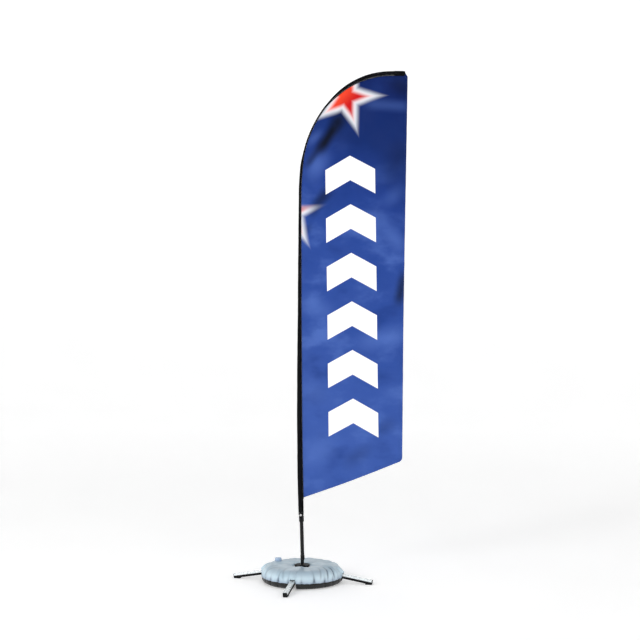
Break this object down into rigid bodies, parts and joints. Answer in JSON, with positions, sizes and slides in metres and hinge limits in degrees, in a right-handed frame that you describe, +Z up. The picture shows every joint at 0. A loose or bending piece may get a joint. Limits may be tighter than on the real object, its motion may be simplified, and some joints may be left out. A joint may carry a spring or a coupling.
{
  "type": "feather flag",
  "caption": "Feather-shaped printed flag in a sleeve on a bent, swivelling pole, on a folding cross base with a water-filled ring.",
  "frame": {"origin": "on the ground under the hub, on the axis that the pole swivels about", "axes": "+Z up, the flag lies in the XZ plane with its fly edge towards +X, and the legs lie along +X, +Y, -X and -Y"},
  "size_m": [1.189, 0.956, 3.3896],
  "materials": {
    "black_casting": "powder coated",
    "bearing_steel": "ground",
    "bearing_cage": "pressed",
    "dark_steel": "blackened",
    "zinc_fasteners": "zinc plated",
    "spacer_alloy": "turned",
    "black_plastic": "moulded",
    "leg_steel": "bright plated",
    "leg_bushes": "nylon",
    "leg_rubber": "matt",
    "black_pole": "satin black",
    "glass_fibre": "satin black",
    "tip_rubber": "matt",
    "black_webbing": "woven",
    "eyelet_metal": "nickel plated",
    "black_sleeve": "woven",
    "printed_flag": "printed knit",
    "pvc_skin": "coated cloth, semi gloss",
    "water": "clear",
    "valve_plastic": "moulded",
    "seal_rubber": "matt"
  },
  "bodies": {
    "base": {"hub": "black_casting", "bearing_housing": "dark_steel", "dust_cap": "black_plastic", "lower_bearing_outer_race": "bearing_steel", "upper_bearing_outer_race": "bearing_steel", "hinge_bolts": "zinc_fasteners", "hinge_nuts": "zinc_fasteners", "hinge_washers": "zinc_fasteners"},
    "right_leg": {"right_leg_tube": "leg_steel", "right_leg_bush": "leg_bushes", "right_leg_runner": "leg_rubber", "right_leg_foot": "leg_rubber"},
    "back_leg": {"back_leg_tube": "leg_steel", "back_leg_bush": "leg_bushes", "back_leg_runner": "leg_rubber", "back_leg_foot": "leg_rubber"},
    "left_leg": {"left_leg_tube": "leg_steel", "left_leg_bush": "leg_bushes", "left_leg_runner": "leg_rubber", "left_leg_foot": "leg_rubber"},
    "front_leg": {"front_leg_tube": "leg_steel", "front_leg_bush": "leg_bushes", "front_leg_runner": "leg_rubber", "front_leg_foot": "leg_rubber"},
    "spindle": {"spindle": "dark_steel", "spindle_circlip": "dark_steel", "bearing_spacer": "spacer_alloy", "lower_bearing_inner_race": "bearing_steel", "upper_bearing_inner_race": "bearing_steel"},
    "ball_train": {"lower_bearing_balls": "bearing_steel", "lower_bearing_cage": "bearing_cage", "upper_bearing_balls": "bearing_steel", "upper_bearing_cage": "bearing_cage"},
    "pole": {"pole_foot_ferrule": "black_pole", "pole_bottom_section": "black_pole", "pole_middle_section": "black_pole", "pole_upper_section": "black_pole", "pole_tip_rod": "glass_fibre", "pole_tip_cap": "tip_rubber", "lower_pole_ferrule": "black_pole", "middle_pole_ferrule": "black_pole", "upper_pole_ferrule": "black_pole", "lower_joint_cup": "black_plastic", "middle_joint_cup": "black_plastic", "upper_joint_cup": "black_plastic", "tension_collar": "black_plastic", "collar_screw": "zinc_fasteners", "tension_strap": "black_webbing", "strap_eyelet": "eyelet_metal", "tip_pocket": "black_webbing", "pole_sleeve": "black_sleeve", "flag_panel": "printed_flag"},
    "water_ring": {"bag_skin": "pvc_skin", "ballast_water": "water", "filler_neck": "valve_plastic"},
    "cap_seal": {"cap_gasket": "seal_rubber"},
    "cap": {"filler_cap": "valve_plastic"}
  },
  "joints": [
    {"name": "right_leg_fold", "type": "hinge", "parent": "base", "child": "right_leg", "pos_m": [0.034, 0, 0.096], "axis": [0, 1, 0], "range_deg": [0, 77]},
    {"name": "back_leg_fold", "type": "hinge", "parent": "base", "child": "back_leg", "pos_m": [0, 0.034, 0.096], "axis": [-1, 0, 0], "range_deg": [0, 77]},
    {"name": "left_leg_fold", "type": "hinge", "parent": "base", "child": "left_leg", "pos_m": [-0.034, 0, 0.096], "axis": [0, -1, 0], "range_deg": [0, 77]},
    {"name": "front_leg_fold", "type": "hinge", "parent": "base", "child": "front_leg", "pos_m": [0, -0.034, 0.096], "axis": [1, 0, 0], "range_deg": [0, 77]},
    {"name": "pole_swivel", "type": "hinge", "parent": "base", "child": "spindle", "pos_m": [0, 0, 0.147], "axis": [0, 0, 1], "continuous": true},
    {"name": "ball_roll", "type": "hinge", "parent": "base", "child": "ball_train", "pos_m": [0, 0, 0.1], "axis": [0, 0, 1], "continuous": true},
    {"name": "pole_lift", "type": "slide", "parent": "spindle", "child": "pole", "axis": [-0.0279, 0, 0.9996], "range_m": [0, 0.2]},
    {"name": "ring_lift", "type": "slide", "parent": "base", "child": "water_ring", "axis": [0, 0, 1], "range_m": [0, 0.25]},
    {"name": "cap_rise", "type": "slide", "parent": "water_ring", "child": "cap_seal", "axis": [0, 0, 1], "range_m": [0, 0.0045]},
    {"name": "cap_turn", "type": "hinge", "parent": "cap_seal", "child": "cap", "pos_m": [-0.18686, 0.07932, 0.125], "axis": [0, 0, 1], "range_deg": [0, 540]}
  ],
  "couplings": [
    {"joint": "ball_roll", "follows": "pole_swivel", "ratio": 0.381},
    {"joint": "cap_rise", "follows": "cap_turn", "m_per_rad": 0.00047746}
  ]
}
